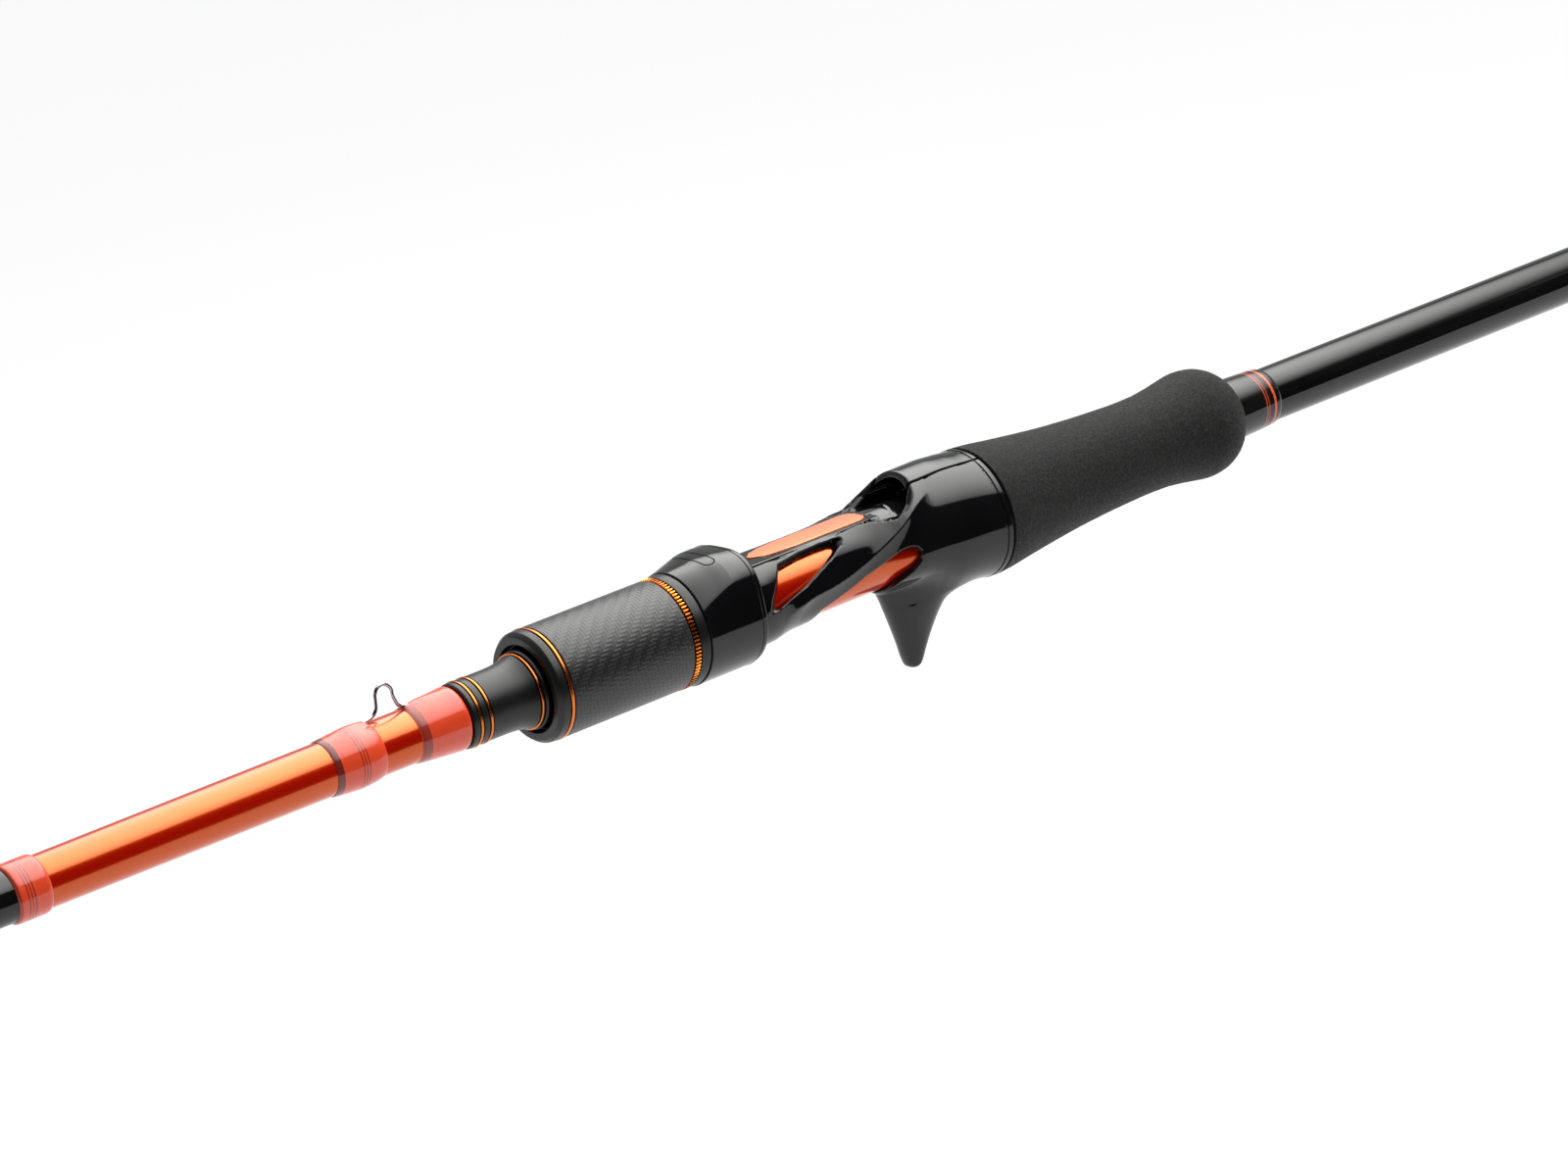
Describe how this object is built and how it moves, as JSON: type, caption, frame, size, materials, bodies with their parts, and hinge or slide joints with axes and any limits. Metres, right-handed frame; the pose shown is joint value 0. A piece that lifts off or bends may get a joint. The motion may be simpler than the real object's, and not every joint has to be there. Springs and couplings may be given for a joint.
{
  "type": "casting fishing rod",
  "caption": "Two-piece casting rod: orange and black blank, ring guides, skeleton trigger reel seat with screw-down hood, EVA split grips.",
  "frame": {"origin": "centre of the butt cap's end face, on the rod's axis", "axes": "+X along the rod from butt to tip, +Z on the side the reel and guides are on"},
  "size_m": [2.1318, 0.03, 0.0533],
  "materials": {
    "blank_paint": "gloss",
    "orange_metallic": "metallic gloss",
    "thread_wrap": "thread under clear epoxy",
    "satin_black": "satin",
    "copper_trim": "bright anodised",
    "carbon_weave": "matt woven carbon",
    "orange_anodised": "anodised, knurled",
    "moulded_black": "gloss moulded",
    "eva_foam": "fine-grained foam",
    "chrome_wire": "polished",
    "guide_steel": "polished smoke finish",
    "ceramic": "polished ceramic",
    "black_thread": "thread under clear epoxy",
    "graphite": "plain",
    "rubber": "matt"
  },
  "bodies": {
    "handle": {"butt_blank": "blank_paint", "butt_cap": "rubber", "butt_grip": "eva_foam", "butt_ring": "orange_anodised", "butt_winding": "black_thread", "ferrule_spigot": "blank_paint", "ferrule_wrap_butt": "black_thread", "front_arbor": "graphite", "front_trim_tube": "satin_black", "guide_1_frame": "guide_steel", "guide_1_ring": "ceramic", "guide_1_wrap_front": "black_thread", "guide_1_wrap_rear": "black_thread", "hook_keeper": "chrome_wire", "palm_grip": "eva_foam", "rear_arbor": "graphite", "rear_winding": "black_thread", "saddle_inlay": "orange_metallic", "seat_body": "moulded_black", "seat_core": "orange_metallic", "trim_ring_flange": "copper_trim", "trim_ring_front": "copper_trim", "trim_ring_mid": "copper_trim", "wrap_flare": "thread_wrap", "wrap_front": "thread_wrap", "wrap_keeper": "thread_wrap"},
    "hood": {"movable_hood": "moulded_black"},
    "nut": {"nut_core": "graphite", "nut_front_cap": "satin_black", "nut_trim_ring": "copper_trim", "carbon_sleeve": "carbon_weave", "knurled_ring": "orange_anodised", "nut_rear_collar": "satin_black"},
    "tip_section": {"ferrule_wrap_tip": "black_thread", "guide_2_frame": "guide_steel", "guide_2_ring": "ceramic", "guide_2_wrap": "black_thread", "guide_3_frame": "guide_steel", "guide_3_ring": "ceramic", "guide_3_wrap": "black_thread", "guide_4_frame": "guide_steel", "guide_4_ring": "ceramic", "guide_4_wrap": "black_thread", "guide_5_frame": "guide_steel", "guide_5_ring": "ceramic", "guide_5_wrap": "black_thread", "guide_6_frame": "guide_steel", "guide_6_ring": "ceramic", "guide_6_wrap": "black_thread", "guide_7_frame": "guide_steel", "guide_7_ring": "ceramic", "guide_7_wrap": "black_thread", "tip_blank": "blank_paint", "tiptop_frame": "guide_steel", "tiptop_ring": "ceramic", "tiptop_wrap": "black_thread"}
  },
  "joints": [
    {"name": "hood_slide", "type": "slide", "parent": "handle", "child": "hood", "axis": [1, 0, 0], "range_m": [0, 0.0141]},
    {"name": "nut_turn", "type": "hinge", "parent": "hood", "child": "nut", "pos_m": [0.425, 0, 0], "axis": [1, 0, 0], "range_deg": [0, 2520]},
    {"name": "tip_pull", "type": "slide", "parent": "handle", "child": "tip_section", "axis": [1, 0, 0], "range_m": [0, 0.09]}
  ],
  "couplings": [
    {"joint": "hood_slide", "follows": "nut_turn", "m_per_rad": 0.00031831}
  ]
}
